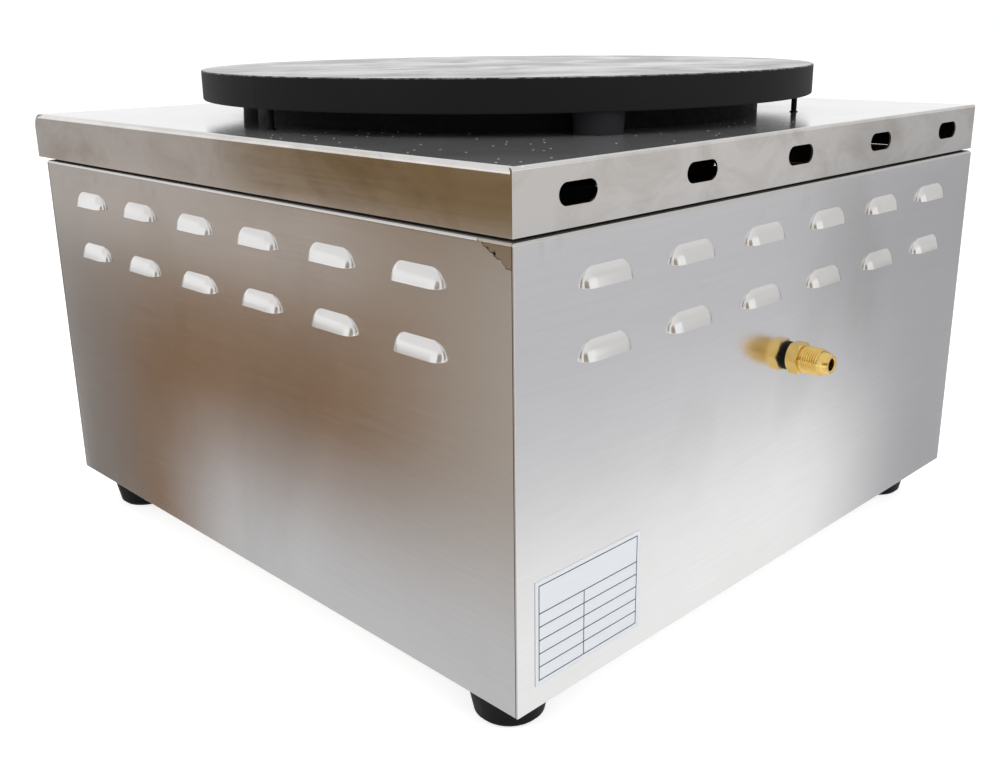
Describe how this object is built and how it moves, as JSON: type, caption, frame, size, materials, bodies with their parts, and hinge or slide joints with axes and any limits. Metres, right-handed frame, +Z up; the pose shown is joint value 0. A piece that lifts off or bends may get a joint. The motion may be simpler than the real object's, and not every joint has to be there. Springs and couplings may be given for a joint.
{
  "type": "gas crepe maker",
  "caption": "Countertop gas griddle: louvred steel case on rubber feet, lift-off cover and round cast plate, push-and-turn gas valve, ring burner and spark igniter.",
  "frame": {"origin": "on the floor under the middle of the case, which is also under the plate's axis", "axes": "+Z up, +Y to the rear wall with the gas inlet, -Y to the front with the knob"},
  "size_m": [0.459, 0.5125, 0.313],
  "materials": {
    "brushed_steel": "stainless sheet with a fine horizontal brushing",
    "mirror_steel": "bright stainless sheet, mirror-like on top",
    "plain_steel": "mill-finish steel sheet",
    "blackened_steel": "steel darkened by heat and oil",
    "zinc_steel": "zinc-plated steel",
    "cast_iron": "dark cast iron, machined face",
    "brass": "machined brass",
    "copper": "bent copper tube",
    "black_rubber": "moulded black rubber",
    "black_plastic": "black heat-resistant plastic",
    "red_plastic": "red moulded button",
    "white_plastic": "white inlay",
    "dial_print": "dark printed metal",
    "lead_sleeve": "silicone sleeve",
    "white_ceramic": "glazed white ceramic",
    "label_white": "white film with black rules"
  },
  "bodies": {
    "base": {"right_side_panel": "brushed_steel", "left_side_panel": "brushed_steel", "rear_panel": "brushed_steel", "front_panel": "brushed_steel", "base_pan": "plain_steel", "burner_strap": "plain_steel", "burner_posts": "plain_steel", "heat_shield": "plain_steel", "foot_screws": "zinc_steel", "foot_nuts": "zinc_steel", "valve_nut": "zinc_steel", "burner_screws": "zinc_steel", "burner_nuts": "zinc_steel", "post_screws": "zinc_steel", "post_nuts": "zinc_steel", "igniter_nut": "zinc_steel", "valve_spring": "zinc_steel", "igniter_spring": "zinc_steel", "electrode_wire": "zinc_steel", "electrode_clip": "zinc_steel", "burner_body": "cast_iron", "burner_cap": "cast_iron", "mixing_tube": "cast_iron", "inlet_fitting": "brass", "inlet_lock_nut": "brass", "pipe_nuts": "brass", "valve_body": "brass", "injector": "brass", "gas_pipe": "copper", "rubber_feet": "black_rubber", "cover_buffers": "black_rubber", "inlet_washer": "black_rubber", "igniter_housing": "black_plastic", "knob_dial": "dial_print", "ignition_lead": "lead_sleeve", "electrode_insulator": "white_ceramic", "rating_plate": "label_white"},
    "top_cover": {"top_cover": "mirror_steel", "flame_collar": "blackened_steel", "locating_pins": "blackened_steel", "pin_nuts": "zinc_steel"},
    "crepe_plate": {"crepe_plate": "cast_iron"},
    "spindle_push": {"spring_seat": "zinc_steel"},
    "knob": {"valve_spindle": "zinc_steel", "control_knob": "black_plastic", "knob_pointer": "white_plastic"},
    "igniter_button": {"igniter_button": "red_plastic"},
    "air_shutter": {"air_shutter": "zinc_steel"}
  },
  "joints": [
    {"name": "cover_lift", "type": "slide", "parent": "base", "child": "top_cover", "axis": [0, 0, 1], "range_m": [0, 0.12]},
    {"name": "plate_lift", "type": "slide", "parent": "top_cover", "child": "crepe_plate", "axis": [0, 0, 1], "range_m": [0, 0.12]},
    {"name": "knob_push", "type": "slide", "parent": "base", "child": "spindle_push", "axis": [0, 1, 0], "range_m": [0, 0.003], "stiffness_N_per_m": 600, "springref_m": -0.006, "deforming": ["valve_spring"]},
    {"name": "knob_turn", "type": "hinge", "parent": "spindle_push", "child": "knob", "pos_m": [0, -0.24, 0.154], "axis": [0, -1, 0], "range_deg": [0, 180]},
    {"name": "igniter_press", "type": "slide", "parent": "base", "child": "igniter_button", "axis": [0, 1, 0], "range_m": [0, 0.006], "stiffness_N_per_m": 1500, "springref_m": -0.004, "deforming": ["igniter_spring"]},
    {"name": "shutter_turn", "type": "hinge", "parent": "base", "child": "air_shutter", "pos_m": [0, -0.147, 0.154], "axis": [0, 1, 0], "range_deg": [0, 45]}
  ]
}
